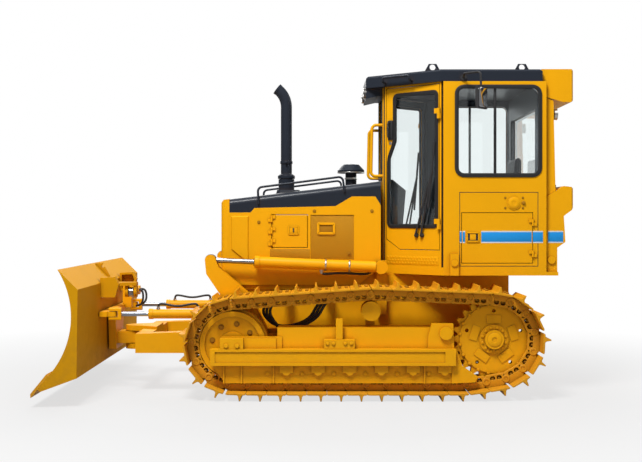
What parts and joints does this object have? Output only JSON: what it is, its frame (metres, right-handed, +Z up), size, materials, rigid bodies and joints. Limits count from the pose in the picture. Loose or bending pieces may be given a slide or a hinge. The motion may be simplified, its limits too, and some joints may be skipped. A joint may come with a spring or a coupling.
{
  "type": "bulldozer",
  "caption": "Mid-size track dozer with enclosed cab, angling and tilting front blade on a push frame, and lift, angle and tilt cylinders.",
  "frame": {"origin": "on the ground under the middle of the machine's box", "axes": "+X forward, +Y operator's left, +Z up"},
  "size_m": [4.5394, 2.8, 2.891],
  "materials": {
    "yellow_paint": "gloss",
    "dark_paint": "satin",
    "chrome_rod": "polished",
    "tinted_glass": "tinted",
    "seat_cloth": "matte",
    "dark_plastic": "matte",
    "hose_rubber": "matte",
    "engine_casting": "rough"
  },
  "bodies": {
    "chassis": {"cab_floor": "yellow_paint", "cab_front": "yellow_paint", "cab_glass": "tinted_glass", "cab_rear": "yellow_paint", "cab_roof": "dark_paint", "cab_side_left": "yellow_paint", "cab_side_right": "yellow_paint", "dash": "dark_plastic", "drawbar": "yellow_paint", "engine_block": "engine_casting", "exhaust_stack": "dark_paint", "fuel_tank": "yellow_paint", "grab_rails": "yellow_paint", "hood_rails": "dark_paint", "hood_side_left": "yellow_paint", "hood_side_right": "yellow_paint", "hood_top": "dark_paint", "idler_left": "yellow_paint", "idler_right": "yellow_paint", "lifting_eyes": "dark_paint", "main_frame": "yellow_paint", "mirrors": "dark_plastic", "nose": "yellow_paint", "precleaner": "dark_paint", "rear_posts": "yellow_paint", "rollers_left": "yellow_paint", "rollers_right": "yellow_paint", "roof_unit": "yellow_paint", "seat": "seat_cloth", "sprocket_left": "yellow_paint", "sprocket_right": "yellow_paint", "track_frame_left": "yellow_paint", "track_frame_right": "yellow_paint", "track_left": "yellow_paint", "track_right": "yellow_paint"},
    "c_frame": {"c_frame": "yellow_paint"},
    "blade_yoke": {"yoke": "yellow_paint", "tilt_barrel": "yellow_paint"},
    "blade": {"blade": "yellow_paint", "cutting_edge": "yellow_paint"},
    "tilt_rod": {"tilt_rod": "chrome_rod"},
    "lift_barrel_left": {"lift_barrel_left": "yellow_paint"},
    "lift_rod_left": {"lift_rod_left": "chrome_rod"},
    "angle_barrel_left": {"angle_barrel_left": "yellow_paint"},
    "angle_rod_left": {"angle_rod_left": "chrome_rod", "angle_fork_left": "yellow_paint"},
    "engine_door_left": {"engine_door_left": "yellow_paint"},
    "side_hatch_left": {"side_hatch_left": "yellow_paint"},
    "cab_door_left": {"cab_door_left": "yellow_paint", "door_glass_left": "tinted_glass"},
    "lift_barrel_right": {"lift_barrel_right": "yellow_paint"},
    "lift_rod_right": {"lift_rod_right": "chrome_rod"},
    "angle_barrel_right": {"angle_barrel_right": "yellow_paint"},
    "angle_rod_right": {"angle_rod_right": "chrome_rod", "angle_fork_right": "yellow_paint"},
    "engine_door_right": {"engine_door_right": "yellow_paint"},
    "side_hatch_right": {"side_hatch_right": "yellow_paint"},
    "cab_door_right": {"cab_door_right": "yellow_paint", "door_glass_right": "tinted_glass"}
  },
  "joints": [
    {"name": "blade_lift", "type": "hinge", "parent": "chassis", "child": "c_frame", "pos_m": [0.175, 0, 0.48], "axis": [0, 1, 0], "range_deg": [-20, 12]},
    {"name": "blade_angle", "type": "hinge", "parent": "c_frame", "child": "blade_yoke", "pos_m": [1.66, 0, 0.43], "axis": [0, 0, 1], "range_deg": [-25, 25]},
    {"name": "blade_tilt", "type": "hinge", "parent": "blade_yoke", "child": "blade", "pos_m": [1.886, 0, 0.43], "axis": [1, 0, 0], "range_deg": [-8, 8]},
    {"name": "tilt_rod_slide", "type": "slide", "parent": "blade_yoke", "child": "tilt_rod", "axis": [0, 1, 0], "range_m": [-0.075, 0.075]},
    {"name": "lift_barrel_pivot_left", "type": "hinge", "parent": "chassis", "child": "lift_barrel_left", "pos_m": [-0.614, 0.56, 1.1], "axis": [0, 1, 0], "range_deg": [-12, 8]},
    {"name": "lift_rod_slide_left", "type": "slide", "parent": "lift_barrel_left", "child": "lift_rod_left", "axis": [0.9991, 0, 0.043], "range_m": [-0.27, 0.17]},
    {"name": "lift_barrel_pivot_right", "type": "hinge", "parent": "chassis", "child": "lift_barrel_right", "pos_m": [-0.614, -0.56, 1.1], "axis": [0, 1, 0], "range_deg": [-12, 8]},
    {"name": "lift_rod_slide_right", "type": "slide", "parent": "lift_barrel_right", "child": "lift_rod_right", "axis": [0.9991, 0, 0.043], "range_m": [-0.27, 0.17]},
    {"name": "angle_barrel_pivot_left", "type": "hinge", "parent": "c_frame", "child": "angle_barrel_left", "pos_m": [0.9, 0.54, 0.686], "axis": [0, 0, 1], "range_deg": [-6, 6]},
    {"name": "angle_rod_slide_left", "type": "slide", "parent": "angle_barrel_left", "child": "angle_rod_left", "axis": [1, 0, 0], "range_m": [-0.25, 0.25]},
    {"name": "angle_barrel_pivot_right", "type": "hinge", "parent": "c_frame", "child": "angle_barrel_right", "pos_m": [0.9, -0.54, 0.686], "axis": [0, 0, 1], "range_deg": [-6, 6]},
    {"name": "angle_rod_slide_right", "type": "slide", "parent": "angle_barrel_right", "child": "angle_rod_right", "axis": [1, 0, 0], "range_m": [-0.25, 0.25]},
    {"name": "cab_door_hinge_left", "type": "hinge", "parent": "chassis", "child": "cab_door_left", "pos_m": [-1.09678, 0.78297, 1.98], "axis": [0, 0, 1], "range_deg": [0, 115]},
    {"name": "engine_door_hinge_left", "type": "hinge", "parent": "chassis", "child": "engine_door_left", "pos_m": [0.361, 0.48, 1.42], "axis": [0, 0, -1], "range_deg": [0, 110]},
    {"name": "side_hatch_hinge_left", "type": "hinge", "parent": "chassis", "child": "side_hatch_left", "pos_m": [-1.91, 0.81, 1.365], "axis": [0, 0, 1], "range_deg": [0, 110]},
    {"name": "cab_door_hinge_right", "type": "hinge", "parent": "chassis", "child": "cab_door_right", "pos_m": [-1.09678, -0.78297, 1.98], "axis": [0, 0, -1], "range_deg": [0, 115]},
    {"name": "engine_door_hinge_right", "type": "hinge", "parent": "chassis", "child": "engine_door_right", "pos_m": [0.361, -0.48, 1.42], "axis": [0, 0, 1], "range_deg": [0, 110]},
    {"name": "side_hatch_hinge_right", "type": "hinge", "parent": "chassis", "child": "side_hatch_right", "pos_m": [-1.91, -0.81, 1.365], "axis": [0, 0, -1], "range_deg": [0, 110]}
  ],
  "couplings": [
    {"joint": "tilt_rod_slide", "follows": "blade_tilt", "m_per_rad": -0.4136},
    {"joint": "lift_barrel_pivot_left", "follows": "blade_lift", "ratio": 0.4955},
    {"joint": "lift_rod_slide_left", "follows": "blade_lift", "m_per_rad": 0.679},
    {"joint": "lift_barrel_pivot_right", "follows": "blade_lift", "ratio": 0.4955},
    {"joint": "lift_rod_slide_right", "follows": "blade_lift", "m_per_rad": 0.679},
    {"joint": "angle_barrel_pivot_left", "follows": "blade_angle", "ratio": 0.12},
    {"joint": "angle_rod_slide_left", "follows": "blade_angle", "m_per_rad": -0.528},
    {"joint": "angle_barrel_pivot_right", "follows": "blade_angle", "ratio": 0.12},
    {"joint": "angle_rod_slide_right", "follows": "blade_angle", "m_per_rad": 0.528}
  ]
}
